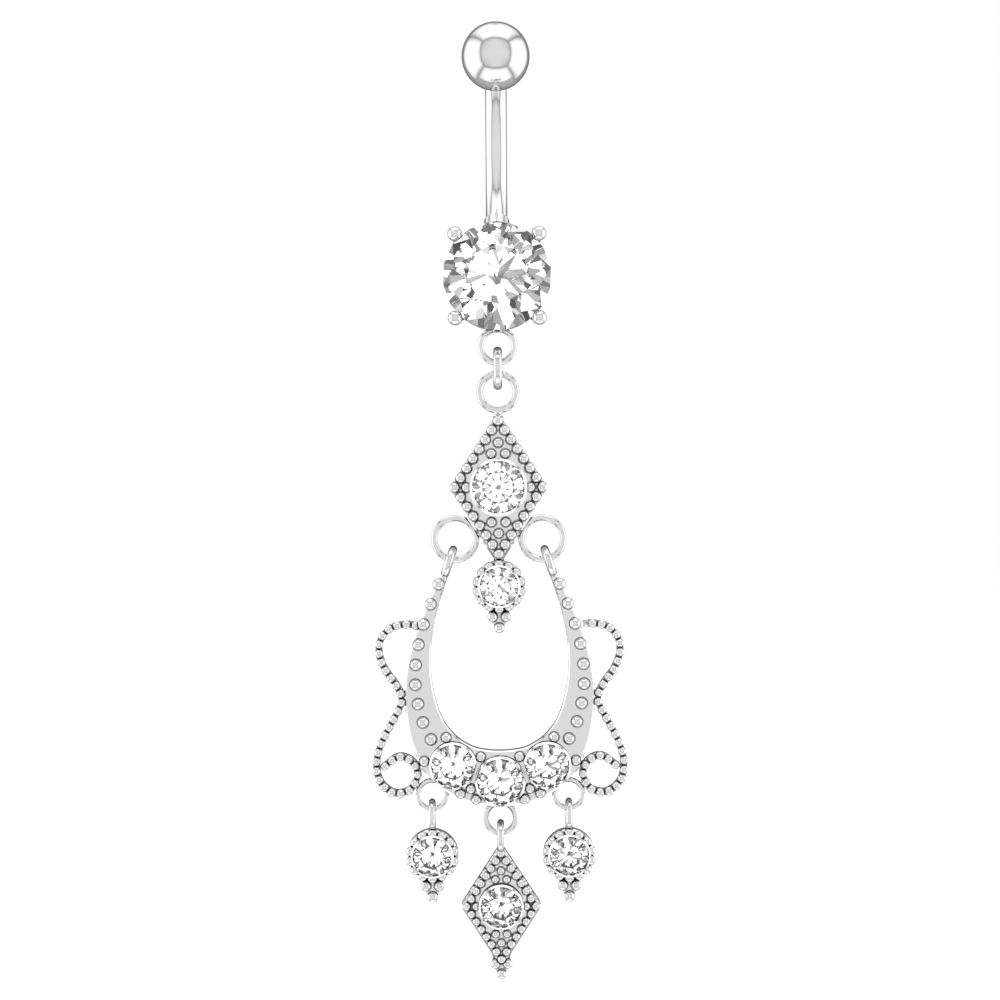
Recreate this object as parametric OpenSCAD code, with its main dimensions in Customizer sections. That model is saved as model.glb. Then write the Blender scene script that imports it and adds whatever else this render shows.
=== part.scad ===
// Curved bar for a navel piercing, with a jewelled drop that hangs in three hinged stages

/* [Bar and ball] */
// Thickness of the curved bar
bar_d = 1.6; // [1.2:0.1:2]
// Straight distance between the two ends of the bar
bar_span = 9.9; // [8:0.1:14]
// Radius that the bar is bent to
bar_bend_r = 8.5; // [7.5:0.5:14]
// Diameter of the ball
ball_d = 5; // [4:0.25:6]
// Diameter of the stub that the ball screws onto
stub_d = 1.2; // [0.9:0.05:1.2]
// Length of the stub
stub_l = 2; // [1.4:0.1:2.4]
// Width of the flared collar where the bar meets the cup
collar_d = 1.88; // [1.8:0.02:2.4]
// Length of the collar's flare
collar_l = 0.15; // [0.1:0.05:0.5]

/* [Main stone and cup] */
// Diameter of the main stone
main_stone_d = 8; // [7:0.25:9]
// How far the stone's edge lies below the end of the bar
stone_below_bar = 0.27; // [0.1:0.01:0.3]
// How far the cup's edge stays inside the stone's edge
cup_inset = 0.15; // [0.1:0.05:0.3]
// Depth of the cup's straight band
cup_band = 1.8; // [1.4:0.1:2.4]
// Depth of the rounded back of the cup
cup_back = 1.7; // [1.3:0.1:2.2]
// Diameter of the flat at the back of the cup
cup_back_d = 4.4; // [3.5:0.1:5]
// Diameter of the round claw tips
claw_tip_d = 1.08; // [0.9:0.02:1.3]
// Thickness of the claw legs
claw_leg_d = 0.84; // [0.7:0.02:1]
// How far the middle of a claw tip stands outside the stone's edge
claw_out = 0.36; // [0.3:0.02:0.45]

/* [Eyelet and link] */
// Hole of the eyelet under the cup
eyelet_hole = 2.05; // [2:0.05:2.6]
// Wire of the eyelet
eyelet_wire = 0.44; // [0.34:0.02:0.5]
// Hole of the link
link_hole = 1.4; // [1.3:0.05:1.6]
// Height of the link's band, seen from the side
link_band = 0.9; // [0.7:0.02:1]
// Width of the link's band, seen from the front
link_w = 0.65; // [0.5:0.05:0.8]

/* [Lozenge] */
// Width of the lozenge between the middles of its side beads
lozenge_w = 6.48; // [6:0.12:8]
// Height of the lozenge between the middles of its end beads
lozenge_h = 9.83; // [9:0.2:12]
// Diameter of the lozenge's stone
lozenge_stone_d = 4.2; // [3.4:0.1:4.3]
// Diameter of the lozenge's beads
lozenge_bead_d = 0.76; // [0.6:0.02:0.8]
// How far the plate's edge stands outside the middles of the beads
lozenge_rim = 0.5; // [0.44:0.02:0.6]
// Hole of the ring on top of the lozenge
top_ring_hole = 2.24; // [2:0.04:2.6]
// Wire of the ring on top of the lozenge
top_ring_wire = 0.48; // [0.36:0.01:0.5]
// Hole of the two rings at the sides
side_ring_hole = 2.64; // [2.4:0.04:3]
// Wire of the two rings at the sides
side_ring_wire = 0.46; // [0.4:0.02:0.56]
// Where the side rings meet the lower edges, from the side corner (0) to the lower corner (1)
side_ring_share = 0.54; // [0.45:0.01:0.6]

/* [Round halo] */
// Diameter of the stone in a round halo
halo_stone_d = 3.1; // [2.8:0.1:3.4]
// Diameter of the halo's beads
halo_bead_d = 0.72; // [0.6:0.02:0.74]
// Number of beads in a halo
halo_beads = 14; // [12:1:16]
// Diameter of the three beads below a halo
tail_bead_d = 0.78; // [0.66:0.02:0.84]

/* [Crescent] */
// Width of the crescent over its outer edges
crescent_w = 14.12; // [13:0.2:17]
// Height of the crescent from its tips to its lower edge
crescent_h = 17.31; // [15.6:0.3:21]
// Width of the opening inside the crescent
opening_w = 10.2; // [9:0.2:10.8]
// Depth of the opening from the tips of the crescent
opening_h = 13.21; // [12:0.2:13.6]
// Diameter of the beads along the arms
arm_bead_d = 0.86; // [0.6:0.02:0.9]
// Distance between the beads along the arms
arm_pitch = 1.49; // [1.2:0.01:1.6]
// Number of beads along each arm
arm_beads = 9; // [5:1:9]
// Diameter of the two side stones
side_stone_d = 3.44; // [3:0.04:3.6]
// Diameter of the middle stone
middle_stone_d = 3.66; // [3.2:0.04:3.8]
// Diameter of the beads that hold the stones
grain_d = 0.76; // [0.6:0.02:0.8]
// Hole of the loops on the tips
loop_hole = 1; // [0.95:0.05:1.4]
// Height of the band of the loops, seen from the side
loop_band = 0.75; // [0.6:0.05:0.9]
// Width of the band of the loops, seen from the front
loop_w = 0.6; // [0.5:0.05:0.7]
// How far outside the middle of a side ring its loop hangs
loop_out = 0.4; // [0.2:0.05:0.5]

/* [Beaded scrolls] */
// How far the scrolls stand out beside the crescent
scroll_out = 2.1; // [1.9:0.1:2.6]
// Diameter of the beads on the scrolls
scroll_bead_d = 0.64; // [0.5:0.02:0.7]
// Width of the strip under the beads
scroll_w = 0.5; // [0.4:0.02:0.56]
// Depth of the strip
scroll_t = 0.8; // [0.6:0.05:1]

/* [Small drops] */
// Hole of the two side eyelets
side_eyelet_hole = 1.72; // [1.6:0.04:2]
// Wire of the two side eyelets
side_eyelet_wire = 0.38; // [0.32:0.02:0.44]
// Hole of the middle eyelet
middle_eyelet_hole = 1.8; // [1.7:0.05:2.2]
// Wire of the middle eyelet
middle_eyelet_wire = 0.42; // [0.34:0.02:0.48]
// Width of the hole in a bail
bail_hole = 1.1; // [1:0.05:1.3]
// Height of the hole in the side bails
side_bail_h = 1.45; // [1.3:0.05:1.9]
// Wire of the side bails
side_bail_wire = 0.5; // [0.4:0.02:0.56]
// Height of the middle bail's band, seen from the side
middle_bail_band = 0.72; // [0.6:0.02:0.8]
// Width of the middle bail's band, seen from the front
middle_bail_w = 0.52; // [0.44:0.02:0.56]
// Width of the small lozenge between the middles of its side beads
small_w = 5.1; // [4.8:0.1:6]
// Height of the small lozenge between the middles of its end beads
small_h = 7.8; // [7.2:0.2:9]
// Diameter of the small lozenge's stone
small_stone_d = 3.26; // [2.8:0.06:3.3]
// Diameter of the small lozenge's beads
small_bead_d = 0.6; // [0.5:0.02:0.64]
// How far the small plate's edge stands outside the middles of its beads
small_rim = 0.4; // [0.36:0.02:0.5]

/* [Castings] */
// Thickness of the flat castings
plate_t = 1; // [0.8:0.1:1.2]
// Width of the bevel along the front edges
bevel = 0.16; // [0.1:0.02:0.2]
// Width of the bevel round the opening of the crescent
opening_bevel = 0.1; // [0.06:0.02:0.2]
// How high a stone's edge stands above its plate
stone_up = 0.35; // [0.2:0.05:0.4]
// How far the stones are turned about their own axes
stone_turn = 9; // [0:1:22]
// Clearance between a stone and its seat
seat_gap = 0.02; // [0.02:0.01:0.05]
// Running clearance where rings, links and bails hang in each other
hang_gap = 0.07; // [0.05:0.01:0.09]
// How deep soldered rings and loops sink into what carries them
solder = 0.2; // [0.15:0.01:0.25]

/* [Hidden] */

$fn = 48;
bead_fn = 20;
bead_lift = 0.15;
steel = [0.80, 0.81, 0.83];
silver = [0.84, 0.85, 0.87];
crystal = [0.95, 0.97, 1.0];
through = 20;

// The bar: an arc through the origin, bent towards the front
bar_half = asin(bar_span / 2 / bar_bend_r);
bar_end_z = bar_span / 2;
bar_end_y = bar_bend_r * (cos(bar_half) - 1);
stub_gap = 0.05;
ball_seat_gap = 0.03;
ball_flat_r = bar_d / 2 + 0.05;
ball_flat_z = sqrt(pow(ball_d / 2, 2) - pow(ball_flat_r, 2));
ball_up = ball_flat_z + ball_seat_gap;
stub_room = 0.2;

// Everything that hangs lies in one upright plane
hang_y = bar_end_y;

// The cup and its stone, measured forward from the hanging plane
cup_front_share = 2 / 3;
girdle_over_cup = 0.15;
claw_foot_in = 0.15;
main_z = -bar_end_z - stone_below_bar - main_stone_d / 2;
cup_r = main_stone_d / 2 - cup_inset;
cup_front = cup_band * cup_front_share;
cup_mid = cup_front - cup_band;
main_girdle = cup_front + girdle_over_cup;
claw_r = main_stone_d / 2 + claw_out;
claw_foot_r = cup_r - claw_foot_in;
claw_lean = atan2(claw_r - claw_foot_r, main_girdle + claw_tip_d / 4 - cup_mid);
claw_l = (claw_r - claw_foot_r) / sin(claw_lean);
culet_hole_d = 1.2;

// The eyelet, the link and the ring on top of the lozenge, each hanging in the one above
eyelet_r = eyelet_hole / 2 + eyelet_wire;
eyelet_solder = solder * 1.5;
eyelet_z = main_z - cup_r - eyelet_r + eyelet_solder;
eyelet_low = eyelet_z - (eyelet_hole + eyelet_wire) / 2;
link_z = eyelet_low + eyelet_wire / 2 + hang_gap - link_hole / 2;
link_low = link_z - (link_hole + link_band) / 2;
top_ring_r = top_ring_hole / 2 + top_ring_wire;
top_ring_z = link_z - link_hole / 2 + hang_gap - top_ring_hole / 2;

// The lozenge
ring_to_bead = 0.56;
lozenge_z = top_ring_z - top_ring_r - ring_to_bead - lozenge_h / 2;
lozenge_side = [lozenge_w / 2, 0];
lozenge_foot = [0, -lozenge_h / 2];
side_ring_r = side_ring_hole / 2 + side_ring_wire;
side_ring_at = side_ring_place(lozenge_side, lozenge_foot);
side_ring_x = side_ring_at[0];
side_ring_z = lozenge_z + side_ring_at[1];
bead_under_stone = 0.29;
disc_edge_in = 0.06;
halo_neck = 0.04;
halo_r = (halo_stone_d + halo_bead_d) / 2 - bead_under_stone;
halo_disc_r = halo_r + halo_bead_d / 2 - disc_edge_in;
halo_z = lozenge_z - lozenge_h / 2 - (lozenge_bead_d + halo_bead_d) / 2 - halo_r - halo_neck;

// Outline of half the crescent, from a tip to the middle of its lower edge. The columns are outer x and
// outer depth as shares of crescent_w / 2 and crescent_h, then inner x and inner depth as shares of
// opening_w / 2 and opening_h.
crescent_share = [
    [0.60, 0, 0.72, 0],
    [0.75, 0.13, 0.84, 0.135],
    [0.875, 0.255, 0.945, 0.29],
    [0.947, 0.353, 0.989, 0.41],
    [0.996, 0.473, 1, 0.53],
    [0.992, 0.589, 0.97, 0.643],
    [0.947, 0.70, 0.90, 0.755],
    [0.89, 0.773, 0.845, 0.806],
    [0.835, 0.836, 0.788, 0.85],
    [0.728, 0.88, 0.61, 0.927],
    [0.534, 0.945, 0.388, 0.978],
    [0.30, 0.986, 0.196, 0.995],
    [0, 1, 0, 1]
];

// The crescent hangs by its loops on the lower wires of the side rings
side_wire_r = (side_ring_hole + side_ring_wire) / 2;
loop_solder = solder * 2.5;
swing_z = side_ring_z - sqrt(pow(side_wire_r, 2) - pow(loop_out, 2));
swing_x = side_ring_x + loop_out;
loop_r = loop_hole / 2 + loop_band;
loop_down = loop_hole / 2 - side_ring_wire / 2 - hang_gap;
tip_mid_x = (crescent_share[0][0] * crescent_w + crescent_share[0][2] * opening_w) / 4;
tip_down = loop_down + loop_r - loop_solder;
loop_lean = atan2(tip_mid_x - swing_x, tip_down);
tip_z = swing_z - tip_down;

crescent_steps = 8;
outer_bevel_depth = bevel * 0.6;
crescent_half = [for (r = crescent_share) [
    r[0] * crescent_w / 2, -r[1] * crescent_h,
    r[2] * opening_w / 2, -r[3] * opening_h
]];
crescent_low = len(crescent_half) - 1;
crescent_rows = concat(
    crescent_half,
    [for (i = [crescent_low - 1 : -1 : 0]) turned_over(crescent_half[i])]
);
crescent_stations = spline_line(crescent_rows, crescent_steps);

// Line of the beads along the arms, as shares of the way from the inner edge to the outer one
arm_share_top = 0.74;
arm_share_low = 0.3;
arm_first = 0.96;
// They stand wider apart near the tips: the middle ones lie this much further down than even steps put them
arm_shift = 0.25;
arm_rows = [for (i = [0 : crescent_low * crescent_steps])
    let (r = spline_at(crescent_half, i / crescent_steps))
    let (share = blend(arm_share_top, arm_share_low, i / crescent_low / crescent_steps))
    blend([r[2], r[3]], [r[0], r[1]], share)];

// Places of the stones in the lower part of the crescent and of the beads round them: the row of the
// outline, and the share of the way from the inner edge to the outer one
side_stone_place = [9.54, 0.502];
middle_stone_place = [crescent_low, 0.54];
grain_places = [[8, 0.834], [8.45, 0.167], [10.74, 0.14], [10.42, 0.897], [10.79, 0.742], [11.12, 0.912]];
side_stone_at = on_band(side_stone_place);
middle_stone_at = on_band(middle_stone_place);

// Eyelets under the crescent: the side ones stand square off the outer edge at this row of the outline
side_eyelet_row = 9.5;
side_eyelet_r = side_eyelet_hole / 2 + side_eyelet_wire;
middle_eyelet_r = middle_eyelet_hole / 2 + middle_eyelet_wire;
side_eyelet_at = off_edge(side_eyelet_row, side_eyelet_r - side_eyelet_wire);
middle_eyelet_at = [0, -crescent_h - middle_eyelet_r + middle_eyelet_wire];

// Route of a beaded scroll: x as shares of scroll_out outside the crescent's widest point, and depth
// below the tips as shares of crescent_h
scroll_share = [
    [-0.41, 0.226], [-0.05, 0.222], [0.46, 0.236], [0.82, 0.285], [0.88, 0.347],
    [0.67, 0.416], [0.30, 0.478], [0.08, 0.543], [0.32, 0.613], [0.62, 0.679],
    [0.88, 0.75], [1, 0.825], [0.85, 0.898], [0.36, 0.943], [-0.22, 0.925],
    [-0.46, 0.86], [-0.24, 0.805], [0.22, 0.787], [0.70, 0.826]
];
scroll_steps = 4;
scroll_points = spline_line(
    [for (s = scroll_share) [crescent_w / 2 + s[0] * scroll_out, -s[1] * crescent_h]],
    scroll_steps
);
scroll_bead_gap = 0.02;
scroll_length = line_length(scroll_points);
scroll_count = floor(scroll_length / (scroll_bead_d + scroll_bead_gap));

// Beads on a lozenge: steps along each side, then the inner beads as shares of half its width and height
lozenge_steps = 7;
inner_beads = [
    [0, 0.671], [0.162, 0.505], [-0.162, 0.505], [0.728, 0], [-0.728, 0],
    [0.162, -0.522], [-0.162, -0.522], [0, -0.69]
];

// The small drops, measured below the eyelets that carry them
side_drop_x = side_eyelet_at[0];
side_wire_low = tip_z + side_eyelet_at[1] - (side_eyelet_hole + side_eyelet_wire) / 2;
side_bail_z = side_wire_low + side_eyelet_wire / 2 + hang_gap - side_bail_h / 2;
side_drop_z = side_bail_z - side_bail_h / 2 - side_bail_wire + solder - halo_disc_r;
middle_wire_low = tip_z + middle_eyelet_at[1] - (middle_eyelet_hole + middle_eyelet_wire) / 2;
middle_bail_z = middle_wire_low + middle_eyelet_wire / 2 + hang_gap - bail_hole / 2;
middle_bail_r = bail_hole / 2 + middle_bail_band;
small_z = middle_bail_z - middle_bail_r + loop_solder - small_rim - small_h / 2;

// Bead tails, as shares of the diameter of their beads
tail_spread = 0.63;
tail_drop = 1.06;
tail_rim = 1 / 3;
tail_corner_steps = 3;
halo_to_tail = 0.86;
small_to_tail = 0.65;
small_tail_bead_d = tail_bead_d * 0.92;

// Hole behind the point of a stone in a plate, as a share of the stone's diameter
back_hole_share = 0.3;
plate_corner_steps = 6;
stub_tip = 0.2;
wire_fn = 24;
ball_fn = 96;

// Proportions of a round brilliant stone, as shares of its radius
table_share = 0.56;
crown_share = 0.32;
pavilion_share = 0.84;
girdle_share = 0.02;
kite_share = 0.80;
lower_share = 0.24;
stone_sides = 8;

// Steepness of a stone's back, from its widest edge to the outer corners of its lowest facets
back_slope = (pavilion_share - girdle_share)
    * (1 - lower_share * cos(180 / stone_sides)) / (1 - lower_share);

function blend(a, b, t) = a + (b - a) * t;
function turned_over(row) = [-row[0], row[1], -row[2], row[3]];
// Height of the outer corners of the star facets, which lie in the planes of the kite facets
function kite_height(r) =
    let (outward = kite_share * cos(180 / stone_sides))
    r * (girdle_share + (crown_share - girdle_share) * (1 - outward) / (1 - table_share));
function polar(r, angle) = [r * cos(angle), r * sin(angle)];

// A smooth curve through every given point, at u from 0 to the last point's number
function spline_at(p, u) =
    let (last = len(p) - 1, i = min(floor(u), last - 1), t = u - i)
    let (a = p[max(i - 1, 0)], b = p[i], c = p[i + 1], d = p[min(i + 2, last)])
    (2 * b + (c - a) * t + (2 * a - 5 * b + 4 * c - d) * t * t + (3 * b - a - 3 * c + d) * t * t * t) / 2;
function spline_line(p, steps) = [for (k = [0 : (len(p) - 1) * steps]) spline_at(p, k / steps)];

// Length along a line of points up to each point, and the point at a given length
function run_lengths(p) =
    [for (i = 0, s = 0; i < len(p); s = s + (i + 1 < len(p) ? norm(p[i + 1] - p[i]) : 0), i = i + 1) s];
function line_length(p) = run_lengths(p)[len(p) - 1];
function point_along(p, s) =
    let (runs = run_lengths(p), i = max([for (k = [0 : len(p) - 2]) if (runs[k] <= s) k]))
    blend(p[i], p[i + 1], (s - runs[i]) / (runs[i + 1] - runs[i]));

// Direction of a line of points at point i, and the line moved sideways
function heading(p, i) =
    let (v = p[min(i + 1, len(p) - 1)] - p[max(i - 1, 0)])
    v / norm(v);
function beside(p, i, d) = let (h = heading(p, i)) p[i] + d * [-h[1], h[0]];

// Point on the crescent's band
function on_band(place) =
    let (r = spline_at(crescent_half, place[0]))
    blend([r[2], r[3]], [r[0], r[1]], place[1]);

// Point at a distance outside the crescent's outer edge
function off_edge(row, d) =
    let (a = spline_at(crescent_half, row - 0.5), b = spline_at(crescent_half, row + 0.5))
    let (m = spline_at(crescent_half, row), v = [b[0] - a[0], b[1] - a[1]], n = [-v[1], v[0]] / norm(v))
    [m[0], m[1]] + d * n;

// Middle of a side ring that stands on the lozenge's lower edge
function side_ring_place(side, foot) =
    let (v = foot - side, n = [-v[1], v[0]] / norm(v))
    blend(side, foot, side_ring_share) + n * (lozenge_rim + side_ring_r - solder);

// Corners of a lozenge, anticlockwise from the right, and a rounded outline round such corners
function lozenge_corners(w, h) = [[w / 2, 0], [0, h / 2], [-w / 2, 0], [0, -h / 2]];
function edge_angle(a, b) = atan2(b[1] - a[1], b[0] - a[0]) - 90;
function rounded_outline(c, r, steps) = [
    for (i = [0 : len(c) - 1])
        let (n = len(c), from = edge_angle(c[(i + n - 1) % n], c[i]), raw = edge_angle(c[i], c[(i + 1) % n]))
        let (to = raw < from ? raw + 360 : raw)
        for (k = [0 : steps]) c[i] + polar(r, blend(from, to, k / steps))
];

// Faces that join sections of m points each into a closed solid
function tube_sides(n, m) = [
    for (i = [0 : n - 2]) for (j = [0 : m - 1])
        let (a = i * m + j, b = i * m + (j + 1) % m, c = a + m, d = b + m)
        each [[a, c, b], [b, c, d]]
];
function tube_faces(n, m) = concat(
    tube_sides(n, m),
    [[for (j = [0 : m - 1]) j]],
    [[for (j = [m - 1 : -1 : 0]) (n - 1) * m + j]]
);

// Face-on pieces are drawn in the upright plane, x to the right and z up, and rise towards the front
module face_on(x, z) translate([x, hang_y, z]) rotate([90, 0, 0]) children();
// Side-on pieces are drawn in the plane that runs front to back
module side_on(x, z, lean = 0) translate([x, hang_y, z]) rotate([0, -lean, 0]) rotate([90, 0, 90]) children();

// Round ring of round wire
module wire_ring(hole, wire)
    rotate_extrude() translate([(hole + wire) / 2, 0]) circle(d = wire, $fn = wire_fn);

// Round ring whose band is taller than it is wide, with rounded edges
module band_ring(hole, band, w)
    rotate_extrude() translate([(hole + band) / 2, 0]) {
        square([band - w, w], center = true);
        for (side = [-1, 1]) translate([side * (band - w) / 2, 0]) circle(d = w, $fn = wire_fn);
    }

// Ring with two straight sides, of round wire, with the long way along y
module oval_ring(hole_w, hole_h, wire) {
    reach = (hole_h - hole_w) / 2;
    for (side = [0, 1]) mirror([0, side, 0]) translate([0, reach, 0])
        rotate_extrude(angle = 180) translate([(hole_w + wire) / 2, 0]) circle(d = wire, $fn = wire_fn);
    for (side = [-1, 1]) translate([side * (hole_w + wire) / 2, 0, 0]) rotate([90, 0, 0])
        cylinder(d = wire, h = reach * 2, center = true, $fn = wire_fn);
}

// Round brilliant, with its widest edge at height 0 and its table to the front
module brilliant(d) {
    r = d / 2;
    step = 360 / stone_sides;
    girdle = girdle_share * r;
    crown = crown_share * r;
    pavilion = pavilion_share * r;
    kite_z = kite_height(r);
    lower_z = -pavilion + (pavilion - girdle) * lower_share * cos(step / 2);
    k = stone_sides;
    points = concat(
        [for (i = [0 : k - 1]) concat(polar(table_share * r, i * step), crown)],
        [for (i = [0 : k - 1]) concat(polar(kite_share * r, (i + 0.5) * step), kite_z)],
        [for (i = [0 : 2 * k - 1]) concat(polar(r, i * step / 2), girdle)],
        [for (i = [0 : 2 * k - 1]) concat(polar(r, i * step / 2), -girdle)],
        [for (i = [0 : k - 1]) concat(polar(lower_share * r, (i + 0.5) * step), lower_z)],
        [[0, 0, -pavilion]]
    );
    kite = k;
    top = 2 * k;
    under = 4 * k;
    low = 6 * k;
    culet = 7 * k;
    faces = concat(
        [[for (i = [k - 1 : -1 : 0]) i]],
        [for (i = [0 : k - 1]) [i, (i + 1) % k, kite + i]],
        [for (i = [0 : k - 1]) [i, kite + i, top + 2 * i]],
        [for (i = [0 : k - 1]) [i, top + 2 * i, kite + (i + k - 1) % k]],
        [for (i = [0 : k - 1]) [kite + i, top + 2 * i + 1, top + 2 * i]],
        [for (i = [0 : k - 1]) [kite + i, top + (2 * i + 2) % (2 * k), top + 2 * i + 1]],
        [for (i = [0 : 2 * k - 1]) [top + i, top + (i + 1) % (2 * k), under + (i + 1) % (2 * k)]],
        [for (i = [0 : 2 * k - 1]) [top + i, under + (i + 1) % (2 * k), under + i]],
        [for (i = [0 : k - 1]) [under + 2 * i, under + 2 * i + 1, low + i]],
        [for (i = [0 : k - 1]) [under + 2 * i + 1, under + (2 * i + 2) % (2 * k), low + i]],
        [for (i = [0 : k - 1]) [under + 2 * i, low + i, culet]],
        [for (i = [0 : k - 1]) [under + 2 * i, culet, low + (i + k - 1) % k]]
    );
    color(crystal) rotate([0, 0, stone_turn]) polyhedron(points, faces);
}

// Room that a stone needs, with its clearance, and the hole behind its point
module stone_room(d, hole) {
    r = d / 2 + seat_gap;
    girdle = girdle_share * d / 2 + seat_gap;
    table_z = crown_share * d / 2 + seat_gap;
    rotate_extrude() polygon([
        [0, -through], [hole / 2, -through], [hole / 2, -girdle - (r - hole / 2) * back_slope],
        [r, -girdle], [r, girdle], [kite_share * d / 2 + seat_gap, kite_height(d / 2) + seat_gap],
        [table_share * d / 2 + seat_gap, table_z], [0, table_z]
    ]);
}

// Plate with a bevelled front edge round corners that are given anticlockwise
module bevelled_plate(corners, rim, t) {
    wide = rounded_outline(corners, rim, plate_corner_steps);
    narrow = rounded_outline(corners, rim - bevel, plate_corner_steps);
    sections = concat(
        [for (p = wide) concat(p, -t / 2)],
        [for (p = wide) concat(p, t / 2 - bevel)],
        [for (p = narrow) concat(p, t / 2)]
    );
    polyhedron(sections, tube_faces(3, len(wide)));
}

// Bead whose middle stands a share of its diameter above the surface that carries it
module bead(at, d, up) translate([at[0], at[1], up + d * bead_lift]) sphere(d = d, $fn = bead_fn);

// Lozenge with a row of beads along its edges, inner beads and a seat for its stone
module beaded_lozenge(w, h, bead_d, rim) {
    corners = lozenge_corners(w, h);
    bevelled_plate(corners, rim, plate_t);
    for (i = [0 : 3]) for (k = [0 : lozenge_steps - 1])
        bead(blend(corners[i], corners[(i + 1) % 4], k / lozenge_steps), bead_d, plate_t / 2);
    for (b = inner_beads) bead([b[0] * w / 2, b[1] * h / 2], bead_d, plate_t / 2);
}

// Three beads in a triangle, on a small plate, with its upper pair at the given height
module bead_tail(pair_y, d) {
    spread = d * tail_spread;
    spots = [[spread, pair_y], [-spread, pair_y], [0, pair_y - d * tail_drop]];
    corners = [[spread, pair_y + d], [-spread, pair_y + d], spots[1], spots[2], spots[0]];
    translate([0, 0, -plate_t / 4]) linear_extrude(plate_t / 2)
        polygon(rounded_outline(corners, d * tail_rim, tail_corner_steps));
    for (s = spots) bead(s, d, plate_t / 4);
}

// Round halo of beads on a disc, with a bead tail
module halo() {
    tail_down = halo_r + halo_bead_d * halo_to_tail;
    translate([0, 0, -plate_t / 2]) cylinder(r = halo_disc_r, h = plate_t - bevel);
    translate([0, 0, plate_t / 2 - bevel]) cylinder(r1 = halo_disc_r, r2 = halo_disc_r - bevel, h = bevel);
    for (i = [0 : halo_beads - 1]) bead(polar(halo_r, 90 + i * 360 / halo_beads), halo_bead_d, plate_t / 2);
    bead_tail(-tail_down, tail_bead_d);
}

module on_plate(at) translate([at[0], at[1], plate_t / 2 + stone_up]) children();
module stone_hole(d, at) on_plate(at) stone_room(d, d * back_hole_share);
module plate_stone(d, at) on_plate(at) brilliant(d);

module at_bar_top() translate([0, bar_end_y, bar_end_z]) rotate([bar_half, 0, 0]) children();
module at_bar_bottom() translate([0, bar_end_y, -bar_end_z]) rotate([180 - bar_half, 0, 0]) children();

module bar() {
    translate([0, -bar_bend_r, 0]) rotate([90, 0, 90]) rotate([0, 0, -bar_half])
        rotate_extrude(angle = 2 * bar_half) translate([bar_bend_r, 0]) circle(d = bar_d);
    at_bar_top() {
        translate([0, 0, -solder]) cylinder(d = stub_d, h = stub_l + solder - stub_tip);
        translate([0, 0, stub_l - stub_tip]) cylinder(d1 = stub_d, d2 = stub_d - stub_tip, h = stub_tip);
    }
    // The flare starts inside the bar and leaves its surface at the bar's end
    at_bar_bottom() {
        translate([0, 0, -collar_l]) cylinder(d1 = 2 * bar_d - collar_d, d2 = collar_d, h = collar_l * 2);
        translate([0, 0, collar_l]) cylinder(d = collar_d, h = cup_band / 2);
    }
}

module claw(angle)
    rotate([0, 0, angle]) translate([claw_foot_r, 0, cup_mid]) rotate([0, claw_lean, 0]) {
        sphere(d = claw_leg_d, $fn = wire_fn);
        cylinder(d = claw_leg_d, h = claw_l, $fn = wire_fn);
        translate([0, 0, claw_l]) sphere(d = claw_tip_d, $fn = wire_fn);
    }

module cup() {
    translate([0, 0, cup_mid]) cylinder(r = cup_r, h = cup_band);
    translate([0, 0, cup_mid - cup_back]) cylinder(d1 = cup_back_d, r2 = cup_r, h = cup_back);
    for (i = [0 : 3]) claw(45 + i * 90);
}

module barbell()
    color(steel) {
        difference() {
            union() {
                bar();
                face_on(0, main_z) cup();
            }
            face_on(0, main_z) translate([0, 0, main_girdle]) stone_room(main_stone_d, culet_hole_d);
        }
        face_on(0, eyelet_z) wire_ring(eyelet_hole, eyelet_wire);
        translate([0, hang_y, eyelet_z + eyelet_r - eyelet_wire])
            cylinder(d = eyelet_wire * 2, h = eyelet_wire + solder);
    }

module top_ball()
    color(steel) at_bar_top() translate([0, 0, ball_up]) difference() {
        sphere(d = ball_d, $fn = ball_fn);
        translate([0, 0, -ball_d]) cylinder(d = ball_d, h = ball_d - ball_flat_z);
        translate([0, 0, -ball_d])
            cylinder(d = stub_d + stub_gap * 2, h = ball_d - ball_up + stub_l + stub_room);
    }

module main_stone() face_on(0, main_z) translate([0, 0, main_girdle]) brilliant(main_stone_d);

module connector_link() color(silver) side_on(0, link_z) band_ring(link_hole, link_band, link_w);

module lozenge_panel()
    color(silver) {
        neck_w = lozenge_bead_d;
        face_on(0, lozenge_z) difference() {
            union() {
                beaded_lozenge(lozenge_w, lozenge_h, lozenge_bead_d, lozenge_rim);
                translate([0, halo_z - lozenge_z, 0]) halo();
                translate([-neck_w / 2, halo_z - lozenge_z, -plate_t / 4])
                    cube([neck_w, lozenge_z - halo_z - lozenge_h / 2, plate_t / 2]);
            }
            stone_hole(lozenge_stone_d, [0, 0]);
            stone_hole(halo_stone_d, [0, halo_z - lozenge_z]);
        }
        face_on(0, top_ring_z) wire_ring(top_ring_hole, top_ring_wire);
        translate([0, hang_y, top_ring_z - top_ring_r - ring_to_bead])
            cylinder(d = top_ring_wire, h = ring_to_bead + top_ring_wire / 2);
        for (side = [-1, 1])
            face_on(side * side_ring_x, side_ring_z) wire_ring(side_ring_hole, side_ring_wire);
    }

module lozenge_stone() face_on(0, lozenge_z) plate_stone(lozenge_stone_d, [0, 0]);
module halo_stone() face_on(0, halo_z) plate_stone(halo_stone_d, [0, 0]);

// The bevelled band of the crescent, as six-sided sections along its outline
module crescent_band() {
    outer = [for (s = crescent_stations) [s[0], s[1]]];
    inner = [for (s = crescent_stations) [s[2], s[3]]];
    n = len(crescent_stations);
    sections = [for (i = [0 : n - 1]) each [
        concat(inner[i], -plate_t / 2), concat(outer[i], -plate_t / 2),
        concat(outer[i], plate_t / 2 - outer_bevel_depth), concat(beside(outer, i, -bevel), plate_t / 2),
        concat(beside(inner, i, opening_bevel), plate_t / 2), concat(inner[i], plate_t / 2 - opening_bevel)
    ]];
    polyhedron(sections, tube_faces(n, 6));
}

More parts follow.
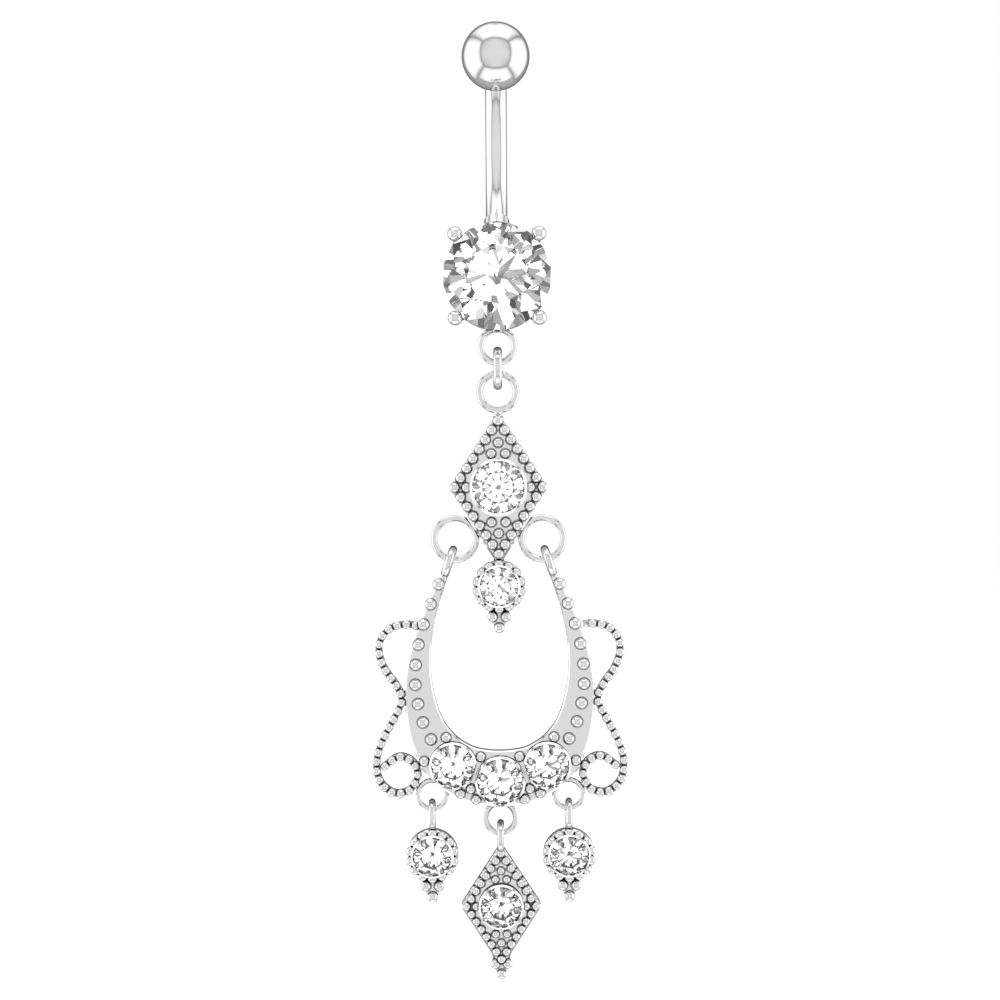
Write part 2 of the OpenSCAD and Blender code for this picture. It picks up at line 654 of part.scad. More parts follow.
// Beads of half the crescent
module crescent_beads() {
    for (i = [0 : arm_beads - 1])
        let (s = arm_first + i * arm_pitch + arm_shift * sin(180 * i / (arm_beads - 1)))
        bead(point_along(arm_rows, s), arm_bead_d, plate_t / 2);
    for (g = grain_places) bead(on_band(g), grain_d, plate_t / 2);
}

// Beaded strip beside the crescent
module scroll() {
    back = -plate_t / 2;
    n = len(scroll_points);
    sections = [for (i = [0 : n - 1])
        let (a = beside(scroll_points, i, -scroll_w / 2), b = beside(scroll_points, i, scroll_w / 2))
        each [concat(a, back), concat(b, back), concat(b, back + scroll_t), concat(a, back + scroll_t)]];
    polyhedron(sections, tube_faces(n, 4));
    for (i = [0 : scroll_count]) bead(
        point_along(scroll_points, min(i * scroll_length / scroll_count, scroll_length)),
        scroll_bead_d, back + scroll_t
    );
}

module tip_loop() {
    along = [sin(loop_lean), -cos(loop_lean)];
    side_on(swing_x + loop_down * along[0], swing_z + loop_down * along[1], loop_lean)
        band_ring(loop_hole, loop_band, loop_w);
}

module crescent_frame()
    color(silver) {
        face_on(0, tip_z) difference() {
            union() {
                crescent_band();
                for (side = [0, 1]) mirror([side, 0, 0]) {
                    crescent_beads();
                    scroll();
                    translate([side_eyelet_at[0], side_eyelet_at[1], 0])
                        wire_ring(side_eyelet_hole, side_eyelet_wire);
                }
                translate([0, middle_eyelet_at[1], 0]) wire_ring(middle_eyelet_hole, middle_eyelet_wire);
            }
            for (side = [-1, 1]) stone_hole(side_stone_d, [side * side_stone_at[0], side_stone_at[1]]);
            stone_hole(middle_stone_d, middle_stone_at);
        }
        for (side = [0, 1]) mirror([side, 0, 0]) tip_loop();
    }

module crescent_stone_left()
    face_on(0, tip_z) plate_stone(side_stone_d, [-side_stone_at[0], side_stone_at[1]]);
module crescent_stone_middle() face_on(0, tip_z) plate_stone(middle_stone_d, middle_stone_at);
module crescent_stone_right() face_on(0, tip_z) plate_stone(side_stone_d, side_stone_at);

// A small halo drop with its bail
module side_drop(side)
    color(silver) {
        face_on(side * side_drop_x, side_drop_z) difference() {
            halo();
            stone_hole(halo_stone_d, [0, 0]);
        }
        side_on(side * side_drop_x, side_bail_z) oval_ring(bail_hole, side_bail_h, side_bail_wire);
    }

module drop_left() side_drop(-1);
module drop_left_stone() face_on(-side_drop_x, side_drop_z) plate_stone(halo_stone_d, [0, 0]);
module drop_right() side_drop(1);
module drop_right_stone() face_on(side_drop_x, side_drop_z) plate_stone(halo_stone_d, [0, 0]);

module drop_middle()
    color(silver) {
        face_on(0, small_z) difference() {
            union() {
                beaded_lozenge(small_w, small_h, small_bead_d, small_rim);
                bead_tail(-small_h / 2 - small_bead_d * small_to_tail, small_tail_bead_d);
            }
            stone_hole(small_stone_d, [0, 0]);
        }
        side_on(0, middle_bail_z) band_ring(bail_hole, middle_bail_band, middle_bail_w);
    }

module drop_middle_stone() face_on(0, small_z) plate_stone(small_stone_d, [0, 0]);

barbell();
top_ball();
main_stone();
connector_link();
lozenge_panel();
lozenge_stone();
halo_stone();
crescent_frame();
crescent_stone_left();
crescent_stone_middle();
crescent_stone_right();
drop_left();
drop_left_stone();
drop_middle();
drop_middle_stone();
drop_right();
drop_right_stone();
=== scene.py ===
"""Navel ring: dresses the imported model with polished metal, clear stones and a soft white studio."""

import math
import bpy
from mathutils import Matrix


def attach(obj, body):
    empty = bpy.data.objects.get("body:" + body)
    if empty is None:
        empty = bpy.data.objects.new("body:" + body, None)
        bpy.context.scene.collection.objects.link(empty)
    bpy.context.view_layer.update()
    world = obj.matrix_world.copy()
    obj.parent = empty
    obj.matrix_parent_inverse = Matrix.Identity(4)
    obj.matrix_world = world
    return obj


bl_info = {
    "name": "Navel Ring",
    "version": (1, 0, 0),
    "blender": (4, 5, 0),
    "location": "View3D > Sidebar > Navel Ring",
    "description": "Finishes a jewelled navel ring and sets up a soft white studio round it",
    "category": "Object",
}

import bpy
from mathutils import Matrix, Vector

MM = 0.001

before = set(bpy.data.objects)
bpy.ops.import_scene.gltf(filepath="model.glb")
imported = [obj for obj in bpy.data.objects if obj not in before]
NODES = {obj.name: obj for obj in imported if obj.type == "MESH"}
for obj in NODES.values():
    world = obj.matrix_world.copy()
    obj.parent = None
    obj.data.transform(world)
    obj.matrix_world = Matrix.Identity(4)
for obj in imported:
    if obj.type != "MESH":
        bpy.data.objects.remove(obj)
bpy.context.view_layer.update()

STEEL_NODES = ["barbell", "top_ball"]
CAST_NODES = ["connector_link", "lozenge_panel", "crescent_frame", "drop_left", "drop_middle", "drop_right"]
# Pieces that hang from their own top and get painted shade there
HUNG_NODES = ["connector_link", "crescent_frame", "drop_left", "drop_middle", "drop_right"]
STONE_NODES = [name for name in NODES if "stone" in name]
SMALL_STONES = {
    "lozenge": ["lozenge_stone", "halo_stone"],
    "crescent": ["crescent_stone_left", "crescent_stone_middle", "crescent_stone_right",
                 "drop_left_stone", "drop_middle_stone", "drop_right_stone"],
}


# Settings

class MetalSettings(bpy.types.PropertyGroup):
    """Colours and polish of the metal"""

    steel: bpy.props.FloatVectorProperty(
        name="Steel", description="Colour of the polished bar, ball and cup",
        subtype="COLOR", size=3, min=0, max=1, default=(0.95, 0.95, 0.955))
    casting: bpy.props.FloatVectorProperty(
        name="Casting", description="Colour of the bright castings",
        subtype="COLOR", size=3, min=0, max=1, default=(0.93, 0.93, 0.935))
    # Colour of the oxidised metal and of the painted shade in corners, round beads and on the tops of hanging
    # pieces
    shadow: bpy.props.FloatVectorProperty(
        name="Oxide and shade", description="Colour of the dark finish left in the corners",
        subtype="COLOR", size=3, min=0, max=1, default=(0.02, 0.02, 0.022))
    polish: bpy.props.FloatProperty(
        name="Roughness",
        description="Roughness of the rims; the castings have twice and the bar four times as much",
        min=0, max=0.4, default=0.03)
    # How far the oxidised metal and the painted shade come out of a corner
    reach: bpy.props.FloatProperty(
        name="Oxide and shade reach", description="How far the dark finish comes out of a corner",
        subtype="DISTANCE", unit="LENGTH", min=0.00002, max=0.002, precision=5, default=0.00016)
    edge: bpy.props.FloatProperty(
        name="Edge tint", description="How much metal still mirrors where it is seen from the side",
        min=0, max=1, default=0.35)
    # How far the painted shade comes down from the tops of links, bails and loops
    top_shade_reach: bpy.props.FloatProperty(
        name="Dark tips",
        description="How far the dark finish comes down from the tops of links, bails and loops",
        subtype="DISTANCE", unit="LENGTH", min=0, max=0.002, precision=5, default=0.0005)


class StoneSettings(bpy.types.PropertyGroup):
    """Look of the clear stones"""

    tint: bpy.props.FloatVectorProperty(
        name="Tint", description="Colour of the clear stones",
        subtype="COLOR", size=3, min=0, max=1, default=(0.995, 0.998, 1.0))
    bending: bpy.props.FloatProperty(
        name="Refractive index", description="How strongly the stones bend light",
        min=1.4, max=2.6, default=2.16)
    rim_share: bpy.props.FloatProperty(
        name="Rim width",
        description="Width of the polished rim round a small stone, as a share of its radius",
        min=0.04, max=0.2, default=0.09)
    rim_over: bpy.props.FloatProperty(
        name="Rim overhang", description="How far the rim stands outside the stone's edge",
        subtype="DISTANCE", unit="LENGTH", min=0, max=0.0001, precision=6, default=0.00003)
    rim_rise: bpy.props.FloatProperty(
        name="Rim rise",
        description="How far the rim's outer edge stands in front of the stone's widest edge",
        subtype="DISTANCE", unit="LENGTH", min=0, max=0.0003, precision=5, default=0.00006)


class StudioSettings(bpy.types.PropertyGroup):
    """Camera, floor and light"""

    distance: bpy.props.FloatProperty(
        name="Camera distance", description="From the camera to the plane of the castings",
        subtype="DISTANCE", unit="LENGTH", min=0.05, max=1, default=0.144)
    across: bpy.props.FloatProperty(
        name="Camera across", description="How far the camera stands to the right of the bar",
        subtype="DISTANCE", unit="LENGTH", min=-0.01, max=0.01, precision=5, default=0.00011)
    down: bpy.props.FloatProperty(
        name="Camera down", description="How far the camera stands below the middle of the bar",
        subtype="DISTANCE", unit="LENGTH", min=0, max=0.06, precision=5, default=0.02565)
    lens: bpy.props.FloatProperty(
        name="Lens", description="Focal length in millimetres on a 36 mm sensor", min=20, max=200, default=70)
    roll: bpy.props.FloatProperty(
        name="Roll", description="Turn of the camera about its own line of sight",
        subtype="ANGLE", min=-0.1, max=0.1, default=math.radians(-0.38))
    floor_down: bpy.props.FloatProperty(
        name="Floor", description="How far the floor lies below the middle of the bar",
        subtype="DISTANCE", unit="LENGTH", min=0.07, max=1, default=0.24)
    wall: bpy.props.FloatProperty(
        name="Side walls", description="Brightness of the lit walls of the light tent",
        min=0, max=4, default=1.45)
    front: bpy.props.FloatProperty(
        name="Front wall", description="Brightness of the wall behind the camera",
        min=0, max=4, default=0.76)
    back: bpy.props.FloatProperty(
        name="Back wall", description="Brightness of the wall behind the piece",
        min=0, max=4, default=0.46)
    floor_light: bpy.props.FloatProperty(
        name="Soft light", description="Even light on matt surfaces", min=0, max=4, default=1.3)
    stone_white: bpy.props.FloatProperty(
        name="Stone white", description="Brightness of the white panels that light the stones",
        min=0, max=4, default=1.7)
    stone_grey: bpy.props.FloatProperty(
        name="Stone grey", description="Brightness of the grey rays and the grey ring round the camera",
        min=0, max=4, default=0.36)
    stone_dark: bpy.props.FloatProperty(
        name="Stone dark", description="Brightness of the dark band inside the grey ring",
        min=0, max=4, default=0.02)


# Node helpers

class Nodes:
    """Short ways to place and join shader nodes in one tree"""

    def __init__(self, tree):
        self.tree = tree

    def new(self, kind, **settings):
        """Adds a node and sets its properties"""
        node = self.tree.nodes.new(kind)
        for name, value in settings.items():
            setattr(node, name, value)
        return node

    def feed(self, value, socket):
        """Links another socket to this one, or sets it to a plain value"""
        if isinstance(value, bpy.types.NodeSocket):
            self.tree.links.new(value, socket)
        else:
            socket.default_value = value

    def math(self, operation, a, b=0.0, clamp=False):
        """Result of a sum on sockets or numbers"""
        node = self.new("ShaderNodeMath", operation=operation, use_clamp=clamp)
        self.feed(a, node.inputs[0])
        if len(node.inputs) > 1:
            self.feed(b, node.inputs[1])
        return node.outputs[0]

    def blend(self, share, a, b, kind="FLOAT"):
        """All a at a share of 0, all b at 1"""
        node = self.new("ShaderNodeMix", data_type=kind)
        first = {"FLOAT": 2, "RGBA": 6}[kind]
        self.feed(share, node.inputs[0])
        self.feed(a, node.inputs[first])
        self.feed(b, node.inputs[first + 1])
        return node.outputs[{"FLOAT": 0, "RGBA": 2}[kind]]

    def spread(self, value, low, high):
        """0 up to low, 1 from high on, with a smooth rise between them"""
        node = self.new("ShaderNodeMapRange", interpolation_type="SMOOTHSTEP")
        for name, number in (("Value", value), ("From Min", low), ("From Max", high)):
            self.feed(number, node.inputs[name])
        return node.outputs[0]

    def noise(self, place, scale, detail):
        """Cloudy value between 0 and 1"""
        node = self.new("ShaderNodeTexNoise")
        self.feed(place, node.inputs["Vector"])
        self.feed(scale, node.inputs["Scale"])
        node.inputs["Detail"].default_value = detail
        return node.outputs["Fac"]


def opaque(colour):
    """Colour with an alpha of 1"""
    return (colour[0], colour[1], colour[2], 1.0)


# Shader node groups

PLAIN_METAL = (0.9, 0.9, 0.9, 1)
PLAIN_OXIDE_AND_SHADE = (0.02, 0.02, 0.02, 1)


def group_tree(name, inputs, outputs):
    """New shader node group with named sockets: (name, kind, default) in, (name, kind) out"""
    tree = bpy.data.node_groups.new(name, "ShaderNodeTree")
    for label, kind, default in inputs:
        socket = tree.interface.new_socket(name=label, in_out="INPUT", socket_type=kind)
        socket.default_value = default
    for label, kind in outputs:
        tree.interface.new_socket(name=label, in_out="OUTPUT", socket_type=kind)
    return tree


def oxide_and_painted_shade_in_corners():
    """Oxidised metal and painted shade in corners and round beads, darker where ambient occlusion finds a
    corner closed in
    """
    name = "Oxide in corners"
    if name in bpy.data.node_groups:
        return bpy.data.node_groups[name]
    tree = group_tree(
        name,
        [("Metal", "NodeSocketColor", PLAIN_METAL), ("Oxide and shade", "NodeSocketColor", PLAIN_OXIDE_AND_SHADE),
         ("Reach", "NodeSocketFloat", 0.0003), ("Amount", "NodeSocketFloat", 0.9),
         ("Start", "NodeSocketFloat", 0.35), ("End", "NodeSocketFloat", 0.7)],
        [("Color", "NodeSocketColor")])
    n = Nodes(tree)
    given = n.new("NodeGroupInput").outputs
    out = n.new("NodeGroupOutput").inputs
    # Ambient occlusion measures how closed in a corner is, and the colour darkens there: painted shade,
    # partly oxidised metal
    corner = n.new("ShaderNodeAmbientOcclusion", samples=16)
    n.feed(given["Reach"], corner.inputs["Distance"])
    closed = n.math("SUBTRACT", 1.0, corner.outputs["AO"])
    mask = n.math("MULTIPLY", n.spread(closed, given["Start"], given["End"]), given["Amount"])
    n.feed(n.blend(mask, given["Metal"], given["Oxide and shade"], "RGBA"), out["Color"])
    return tree


def painted_top_shade():
    """Painted shade on the top of a link or bail, where it hangs from the part above, fading downwards"""
    name = "Dark tips"
    if name in bpy.data.node_groups:
        return bpy.data.node_groups[name]
    tree = group_tree(
        name,
        [("Metal", "NodeSocketColor", PLAIN_METAL), ("Oxide and shade", "NodeSocketColor", PLAIN_OXIDE_AND_SHADE),
         ("Top", "NodeSocketFloat", 0.0), ("Reach", "NodeSocketFloat", 0.0005),
         ("Amount", "NodeSocketFloat", 0.8)],
        [("Color", "NodeSocketColor")])
    n = Nodes(tree)
    given = n.new("NodeGroupInput").outputs
    out = n.new("NodeGroupOutput").inputs
    split = n.new("ShaderNodeSeparateXYZ")
    n.feed(n.new("ShaderNodeTexCoord").outputs["Object"], split.inputs[0])
    # Painted shade: darkest at the top height, fading out over the reach below it
    foot = n.math("SUBTRACT", given["Top"], given["Reach"])
    mask = n.math("MULTIPLY", n.spread(split.outputs[2], foot, given["Top"]), given["Amount"])
    n.feed(n.blend(mask, given["Metal"], given["Oxide and shade"], "RGBA"), out["Color"])
    return tree


def polish_marks():
    """Fine unevenness that a polishing wheel leaves: a roughness and a height"""
    name = "Polish marks"
    if name in bpy.data.node_groups:
        return bpy.data.node_groups[name]
    tree = group_tree(
        name,
        [("Roughness", "NodeSocketFloat", 0.05), ("Variation", "NodeSocketFloat", 0.03),
         ("Swirl Scale", "NodeSocketFloat", 900.0), ("Grain Scale", "NodeSocketFloat", 9000.0)],
        [("Roughness", "NodeSocketFloat"), ("Height", "NodeSocketFloat")])
    n = Nodes(tree)
    given = n.new("NodeGroupInput").outputs
    out = n.new("NodeGroupOutput").inputs
    place = n.new("ShaderNodeTexCoord").outputs["Object"]
    swirl = n.noise(place, given["Swirl Scale"], 3.0)
    grain = n.noise(place, given["Grain Scale"], 2.0)
    about_zero = n.math("SUBTRACT", n.math("ADD", swirl, grain), 1.0)
    uneven = n.math("MULTIPLY", about_zero, given["Variation"])
    n.feed(n.math("ADD", given["Roughness"], uneven, clamp=True), out["Roughness"])
    grain_share = 0.3
    n.feed(n.blend(grain_share, swirl, grain), out["Height"])
    return tree


# Materials

def new_material(name):
    """Named material with a Principled shader; returns it with its nodes and the shader"""
    material = bpy.data.materials.new(name)
    material.use_nodes = True
    tree = material.node_tree
    tree.nodes.clear()
    n = Nodes(tree)
    shader = n.new("ShaderNodeBsdfPrincipled")
    out = n.new("ShaderNodeOutputMaterial")
    tree.links.new(shader.outputs[0], out.inputs[0])
    return material, n, shader


def metal(name, colour, reach, amount, start, end, roughness, variation, height, shaded_top=None):
    """Polished metal with oxidation and painted shade in its corners, faint polishing marks and, below a
    given top height, painted shade on its top
    """
    if name in bpy.data.materials:
        return bpy.data.materials[name]
    settings = bpy.context.scene.navel_ring_metal
    oxide_and_shade = opaque(settings.shadow)
    material, n, shader = new_material(name)
    # Oxidised metal and painted shade in the corners, from ambient occlusion
    corners = n.new("ShaderNodeGroup", node_tree=oxide_and_painted_shade_in_corners())
    for label, value in (("Metal", opaque(colour)), ("Oxide and shade", oxide_and_shade), ("Reach", reach),
                         ("Amount", amount), ("Start", start), ("End", end)):
        corners.inputs[label].default_value = value
    marks = n.new("ShaderNodeGroup", node_tree=polish_marks())
    marks.inputs["Roughness"].default_value = roughness
    marks.inputs["Variation"].default_value = variation
    bump = n.new("ShaderNodeBump")
    bump.inputs["Strength"].default_value = height
    bump.inputs["Distance"].default_value = 0.01 * MM
    n.feed(marks.outputs["Height"], bump.inputs["Height"])
    tint = corners.outputs["Color"]
    # Painted shade on the top of a hanging piece
    if shaded_top is not None:
        top_shade = n.new("ShaderNodeGroup", node_tree=painted_top_shade())
        top_shade.inputs["Oxide and shade"].default_value = oxide_and_shade
        top_shade.inputs["Top"].default_value = shaded_top
        top_shade.inputs["Reach"].default_value = settings.top_shade_reach
        n.feed(tint, top_shade.inputs["Metal"])
        tint = top_shade.outputs["Color"]
    n.feed(tint, shader.inputs["Base Color"])
    n.feed(marks.outputs["Roughness"], shader.inputs["Roughness"])
    n.feed(bump.outputs["Normal"], shader.inputs["Normal"])
    shader.inputs["Metallic"].default_value = 1.0
    shader.inputs["Specular Tint"].default_value = (settings.edge, settings.edge, settings.edge, 1)
    return material


def steel():
    """Polished bar steel, with wide soft shadows in its few corners"""
    settings = bpy.context.scene.navel_ring_metal
    return metal("Polished steel", settings.steel, reach=settings.reach * 3, amount=0.8, start=0.2, end=0.6,
                 roughness=settings.polish * 4, variation=0.02, height=0.05)


def casting(name):
    """Bright cast metal; a piece that hangs from its own top has painted shade on that top"""
    settings = bpy.context.scene.navel_ring_metal
    shaded_top = None
    label = "Bright casting"
    if name in HUNG_NODES:
        # Highest point of the hanging piece, where the painted shade is darkest
        shaded_top = max(v.co.z for v in NODES[name].data.vertices)
        label = "Bright casting of " + name
    return metal(label, settings.casting, reach=settings.reach, amount=0.92, start=0.14, end=0.42,
                 roughness=settings.polish * 2, variation=0.04, height=0.12, shaded_top=shaded_top)


def rim_metal():
    """Casting metal of the rims, with the highest polish and faint oxidation and painted shade in its corners
    """
    settings = bpy.context.scene.navel_ring_metal
    return metal("Rim metal", settings.casting, reach=settings.reach, amount=0.5, start=0.4, end=0.9,
                 roughness=settings.polish, variation=0.02, height=0.05)


def clear_stone():
    """Clear stone that bends light strongly, with a faint unevenness in its tint"""
    name = "Clear stone"
    if name in bpy.data.materials:
        return bpy.data.materials[name]
    settings = bpy.context.scene.navel_ring_stones
    material, n, shader = new_material(name)
    place = n.new("ShaderNodeTexCoord").outputs["Object"]
    cloud_scale = 700.0
    most_paler = 0.4
    paler = n.math("MULTIPLY", n.noise(place, cloud_scale, 1.0), most_paler)
    n.feed(n.blend(paler, opaque(settings.tint), (1, 1, 1, 1), "RGBA"), shader.inputs["Base Color"])
    shader.inputs["Roughness"].default_value = 0.0
    shader.inputs["Transmission Weight"].default_value = 1.0
    shader.inputs["IOR"].default_value = settings.bending
    return material


def studio_white():
    """Matt white floor with the faint mottling of paper"""
    name = "Studio white"
    if name in bpy.data.materials:
        return bpy.data.materials[name]
    material, n, shader = new_material(name)
    place = n.new("ShaderNodeTexCoord").outputs["Object"]
    darker = (0.93, 0.93, 0.93, 1)
    lighter = (0.96, 0.96, 0.96, 1)
    fibre_scale = 40.0
    fibre = n.noise(place, fibre_scale, 4.0)
    n.feed(n.blend(fibre, darker, lighter, "RGBA"), shader.inputs["Base Color"])
    shader.inputs["Roughness"].default_value = 1.0
    shader.inputs["Specular IOR Level"].default_value = 0.0
    return material


def dress(names, material):
    """Gives CAD nodes a material in place of their plain one"""
    for name in names:
        slots = NODES[name].data.materials
        slots.clear()
        slots.append(material)


# Polished rims round the small stones

def stone_edge(name):
    """Middle, radius and front of a stone's widest edge, from its CAD mesh"""
    edge_share = 0.99
    node = NODES[name]
    points = [node.matrix_world @ v.co for v in node.data.vertices]
    middle_x = (min(p.x for p in points) + max(p.x for p in points)) / 2
    middle_z = (min(p.z for p in points) + max(p.z for p in points)) / 2
    far = [(math.hypot(p.x - middle_x, p.z - middle_z), p.y) for p in points]
    radius = max(r for r, y in far)
    front = min(y for r, y in far if r > radius * edge_share)
    return Vector((middle_x, front, middle_z)), radius


def rim_profile(radius, settings):
    """Section of a rim, as distances from the stone's middle and places behind its widest edge"""
    outer = radius + settings.rim_over
    inner = outer - radius * settings.rim_share
    clear = 0.005 * MM
    foot = 0.05 * MM
    front_slope = 0.85
    crown_slope = 0.68
    return [
        (outer, foot),
        (radius + clear, foot),
        (radius + clear, -clear),
        (inner, -(radius - inner) * crown_slope - clear),
        (inner, -settings.rim_rise - (outer - inner) * front_slope),
        (outer, -settings.rim_rise),
    ]


def add_rim(name, body, settings):
    """Thin polished ring over a stone's outer edge, sloping inwards and forwards like its front"""
    middle, radius = stone_edge(name)
    profile = rim_profile(radius, settings)
    steps = 96
    sharp = math.radians(30)
    verts = []
    faces = []
    count = len(profile)
    for i in range(steps):
        turn = 2 * math.pi * i / steps
        for r, y in profile:
            verts.append((middle.x + r * math.cos(turn), middle.y + y, middle.z + r * math.sin(turn)))
        after = (i + 1) % steps
        for k in range(count):
            m = (k + 1) % count
            faces.append((i * count + k, after * count + k, after * count + m, i * count + m))
    mesh = bpy.data.meshes.new(name + "_rim")
    mesh.from_pydata(verts, [], faces)
    mesh.materials.append(rim_metal())
    for face in mesh.polygons:
        face.use_smooth = True
    mesh.set_sharp_from_angle(angle=sharp)
    rim = bpy.data.objects.new(name + "_rim", mesh)
    bpy.context.scene.collection.objects.link(rim)
    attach(rim, body)


# Studio

def stone_panels(n, direction, settings):
    """White tent that only the stones see: grey rays in front, and a grey ring with a dark band in it"""
    rays = (0.15, 0.34, 0.05)
    grey_ring = (0.38, 1.1, 0.05)
    dark_band = (0.44, 0.8, 0.1)
    ray_count = 5.0
    ray_turn = 0.5
    ray_edge = (0.1, 0.6)
    x, y, z = direction
    off_axis = n.math("SQRT", n.math("ADD", n.math("MULTIPLY", x, x), n.math("MULTIPLY", z, z)))
    angle = n.math("ARCTAN2", off_axis, n.math("MULTIPLY", y, -1.0))
    turn = n.math("ARCTAN2", z, x)

    def ring(inner, outer, soft):
        """1 between two angles off the line of sight, with soft borders, all in radians"""
        return n.math("MULTIPLY", n.spread(angle, inner - soft, inner + soft),
                      n.spread(angle, outer + soft, outer - soft))

    waves = n.math("SINE", n.math("ADD", n.math("MULTIPLY", turn, ray_count), ray_turn))
    gaps = n.math("MULTIPLY", ring(*rays), n.spread(waves, *ray_edge))
    light = n.blend(gaps, settings.stone_white, settings.stone_grey)
    light = n.blend(ring(*grey_ring), light, settings.stone_grey)
    return n.blend(ring(*dark_band), light, settings.stone_dark)


def light_tent(world, settings):
    """White tent with dark seams where walls meet, seen by reflections; a camera sees plain white"""
    front_width = 1.23
    back_width = 0.84
    corner_shade = 0.45
    floor_from, floor_full = 0.22, 0.36
    world.use_nodes = True
    tree = world.node_tree
    tree.nodes.clear()
    n = Nodes(tree)
    split = n.new("ShaderNodeSeparateXYZ")
    n.feed(n.new("ShaderNodeTexCoord").outputs["Generated"], split.inputs[0])
    x, y, z = split.outputs
    side = n.math("ABSOLUTE", x)
    height = n.math("ABSOLUTE", z)
    ahead = n.math("MAXIMUM", n.math("MULTIPLY", y, -front_width), n.math("MULTIPLY", y, back_width))
    round_it = n.math("MAXIMUM", side, height)
    most = n.math("MAXIMUM", round_it, ahead)
    least = n.math("MINIMUM", n.math("MINIMUM", side, height), ahead)
    total = n.math("ADD", n.math("ADD", side, height), ahead)
    middle = n.math("SUBTRACT", n.math("SUBTRACT", total, most), least)
    inward = n.math("DIVIDE", n.math("SUBTRACT", most, middle), most)

    def fade(reach, low):
        """Brightness that starts low at a seam and rises over a reach"""
        falling = n.math("EXPONENT", n.math("MULTIPLY", inward, -1.0 / reach))
        return n.math("SUBTRACT", 1.0, n.math("MULTIPLY", falling, 1.0 - low))

    wall = n.math("MULTIPLY", fade(reach=0.3, low=0.17), settings.wall)
    corner = n.math("DIVIDE", n.math("MULTIPLY", side, height), n.math("MULTIPLY", ahead, ahead))
    shaded = n.math("SUBTRACT", 1.0, n.math("MULTIPLY", corner, corner_shade))
    front = n.math("MULTIPLY", n.math("MULTIPLY", fade(reach=0.07, low=0.25), settings.front), shaded)
    back = n.math("MULTIPLY", fade(reach=0.03, low=0.3), settings.back)
    behind = n.spread(y, floor_from, floor_full)
    rear_floor = n.math("MULTIPLY", behind, n.math("GREATER_THAN", n.math("MULTIPLY", z, -1.0), side))
    wall = n.blend(rear_floor, wall, settings.back)
    facing = n.math("GREATER_THAN", ahead, round_it)
    rear = n.math("GREATER_THAN", y, 0.0)
    room = n.blend(facing, wall, n.blend(rear, front, back))
    path = n.new("ShaderNodeLightPath").outputs
    bright = n.blend(path["Is Camera Ray"], settings.floor_light, 1.0)
    bright = n.blend(path["Is Glossy Ray"], bright, room)
    light = n.new("ShaderNodeBackground")
    light.inputs["Color"].default_value = (1, 1, 1, 1)
    panels = stone_panels(n, (x, y, z), settings)
    n.feed(n.blend(path["Is Transmission Ray"], bright, panels), light.inputs["Strength"])
    out = n.new("ShaderNodeOutputWorld")
    tree.links.new(light.outputs[0], out.inputs[0])


def add_floor(settings):
    """Wide pale floor below the piece"""
    size = 4.0
    mesh = bpy.data.meshes.new("studio_floor")
    z = -settings.floor_down
    corners = [(-size, -size, z), (size, -size, z), (size, size, z), (-size, size, z)]
    mesh.from_pydata(corners, [], [(0, 1, 2, 3)])
    floor = bpy.data.objects.new("studio_floor", mesh)
    bpy.context.scene.collection.objects.link(floor)
    mesh.materials.append(studio_white())
    floor.visible_glossy = False
    floor.visible_transmission = False


def add_lamp(name, place, size, power):
    """Large soft lamp that lights the floor and isn't mirrored by the metal"""
    target = Vector((0, 0, -30 * MM))
    lamp = bpy.data.lights.new(name, "AREA")
    lamp.shape = "SQUARE"
    lamp.size = size
    lamp.energy = power
    piece = bpy.data.objects.new(name, lamp)
    aim = (target - Vector(place)).to_track_quat("-Z", "Y")
    piece.matrix_world = Matrix.Translation(place) @ aim.to_matrix().to_4x4()
    piece.visible_glossy = False
    piece.visible_transmission = False
    bpy.context.scene.collection.objects.link(piece)


def add_camera(settings):
    """Camera at the photograph's place"""
    data = bpy.data.cameras.new("camera")
    data.lens = settings.lens
    data.sensor_width = 36
    data.clip_start = 0.005
    data.clip_end = 20
    camera = bpy.data.objects.new("camera", data)
    plane = NODES["connector_link"].bound_box
    middle_y = (min(p[1] for p in plane) + max(p[1] for p in plane)) / 2
    place = Vector((settings.across, middle_y - settings.distance, -settings.down))
    turn = Matrix.Rotation(math.radians(90), 4, "X") @ Matrix.Rotation(settings.roll, 4, "Z")
    camera.matrix_world = Matrix.Translation(place) @ turn
    bpy.context.scene.collection.objects.link(camera)
    bpy.context.scene.camera = camera


# Operators

class NAVELRING_OT_stage(bpy.types.Operator):
    """Sets the camera, the pale floor, the soft lamps and the light tent"""

    bl_idname = "navel_ring.stage"
    bl_label = "Set the Stage"

    def execute(self, context):
        settings = context.scene.navel_ring_studio
        add_camera(settings)
        add_floor(settings)
        add_lamp("soft_lamp_above", place=(0, -0.1, 0.5), size=0.6, power=3.0)
        add_lamp("soft_lamp_left", place=(-0.5, -0.3, 0.2), size=0.5, power=1.5)
        world = bpy.data.worlds.new("light_tent")
        context.scene.world = world
        light_tent(world, settings)
        context.scene.view_settings.view_transform = "Standard"
        return {"FINISHED"}


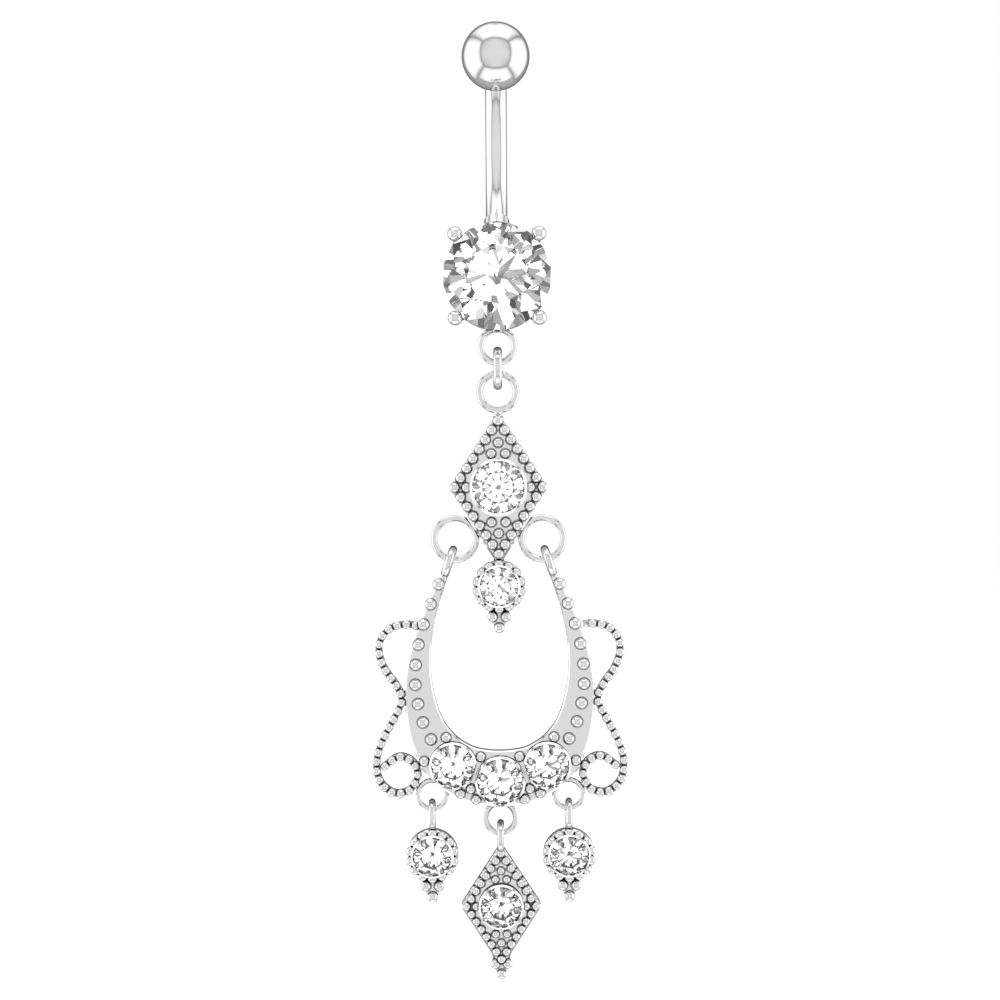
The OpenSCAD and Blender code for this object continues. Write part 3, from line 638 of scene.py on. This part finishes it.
class NAVELRING_OT_bar(bpy.types.Operator):
    """Polishes the curved bar, its cup and claws, and the ball"""

    bl_idname = "navel_ring.bar"
    bl_label = "Finish the Bar and Ball"

    def execute(self, context):
        dress(STEEL_NODES, steel())
        return {"FINISHED"}


class NAVELRING_OT_castings(bpy.types.Operator):
    """Finishes the link, the lozenge, the crescent and the small drops"""

    bl_idname = "navel_ring.castings"
    bl_label = "Finish the Castings"

    def execute(self, context):
        for name in CAST_NODES:
            dress([name], casting(name))
        return {"FINISHED"}


class NAVELRING_OT_stones(bpy.types.Operator):
    """Gives every stone its clear material, and the small ones their polished rims"""

    bl_idname = "navel_ring.stones"
    bl_label = "Finish the Stones"

    def execute(self, context):
        dress(STONE_NODES, clear_stone())
        for body, names in SMALL_STONES.items():
            for name in names:
                add_rim(name, body, context.scene.navel_ring_stones)
        return {"FINISHED"}


class NAVELRING_PT_panel(bpy.types.Panel):
    """Lists the settings and the steps"""

    bl_idname = "NAVELRING_PT_panel"
    bl_label = "Navel Ring"
    bl_space_type = "VIEW_3D"
    bl_region_type = "UI"
    bl_category = "Navel Ring"

    def draw(self, context):
        for group in SETTINGS:
            box = self.layout.box()
            values = getattr(context.scene, group)
            for name in values.__annotations__:
                box.prop(values, name)
        for step in STEPS:
            self.layout.operator(step.bl_idname)


SETTINGS = {
    "navel_ring_metal": MetalSettings,
    "navel_ring_stones": StoneSettings,
    "navel_ring_studio": StudioSettings,
}
STEPS = [NAVELRING_OT_stage, NAVELRING_OT_bar, NAVELRING_OT_castings, NAVELRING_OT_stones]


def register():
    for cls in [*SETTINGS.values(), *STEPS, NAVELRING_PT_panel]:
        bpy.utils.register_class(cls)
    for name, cls in SETTINGS.items():
        setattr(bpy.types.Scene, name, bpy.props.PointerProperty(type=cls))


def unregister():
    for name in SETTINGS:
        delattr(bpy.types.Scene, name)
    for cls in reversed([*SETTINGS.values(), *STEPS, NAVELRING_PT_panel]):
        bpy.utils.unregister_class(cls)


def main():
    """Runs every step"""
    register()
    for step in STEPS:
        getattr(bpy.ops.navel_ring, step.bl_idname.split(".")[1])()
    bpy.context.view_layer.update()


if __name__ == "__main__":
    main()
